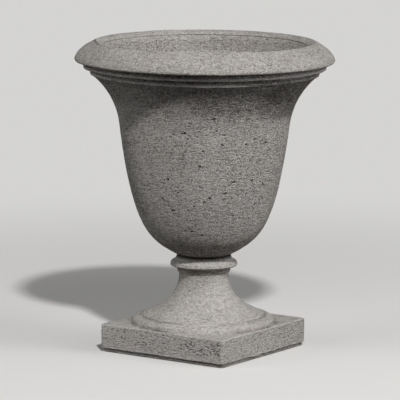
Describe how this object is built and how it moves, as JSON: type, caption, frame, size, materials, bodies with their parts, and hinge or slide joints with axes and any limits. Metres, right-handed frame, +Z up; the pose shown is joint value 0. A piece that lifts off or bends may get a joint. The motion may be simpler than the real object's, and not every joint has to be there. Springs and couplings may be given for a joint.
{
  "type": "cast stone urn",
  "caption": "Bell shaped cast stone garden urn with a rolled rim, on a stem with a collar, a round moulded base and a square plinth.",
  "frame": {"origin": "centre of the plinth's underside, on the surface that the urn stands on", "axes": "+Z up along the axis of the bowl and stem, X and Y square to the plinth's sides"},
  "size_m": [0.6104, 0.6104, 0.7329],
  "materials": {
    "cast_stone": "matt grey cast stone with fine sand grain and air holes",
    "reinforcing_steel": "plain bar with mill scale",
    "drain_pipe": "grey plastic pipe",
    "setting_pad": "black rubber"
  },
  "bodies": {
    "foot": {"foot": "cast_stone", "foot_drain_pipe": "drain_pipe", "stem_bar_1": "reinforcing_steel", "stem_bar_2": "reinforcing_steel", "stem_bar_3": "reinforcing_steel", "stem_bar_4": "reinforcing_steel", "stem_tie_lower": "reinforcing_steel", "stem_tie_upper": "reinforcing_steel", "base_bar_1": "reinforcing_steel", "base_bar_2": "reinforcing_steel", "base_bar_3": "reinforcing_steel", "base_bar_4": "reinforcing_steel", "setting_pad_1": "setting_pad", "setting_pad_2": "setting_pad", "setting_pad_3": "setting_pad"},
    "bowl": {"bowl": "cast_stone", "bowl_drain_pipe": "drain_pipe", "rim_hoop": "reinforcing_steel", "waist_hoop": "reinforcing_steel", "belly_hoop": "reinforcing_steel", "wall_bar_1": "reinforcing_steel", "wall_bar_2": "reinforcing_steel", "wall_bar_3": "reinforcing_steel", "wall_bar_4": "reinforcing_steel"}
  },
  "joints": [
    {"name": "bowl_lift", "type": "slide", "parent": "foot", "child": "bowl", "axis": [0, 0, 1], "range_m": [0, 0.06]}
  ]
}
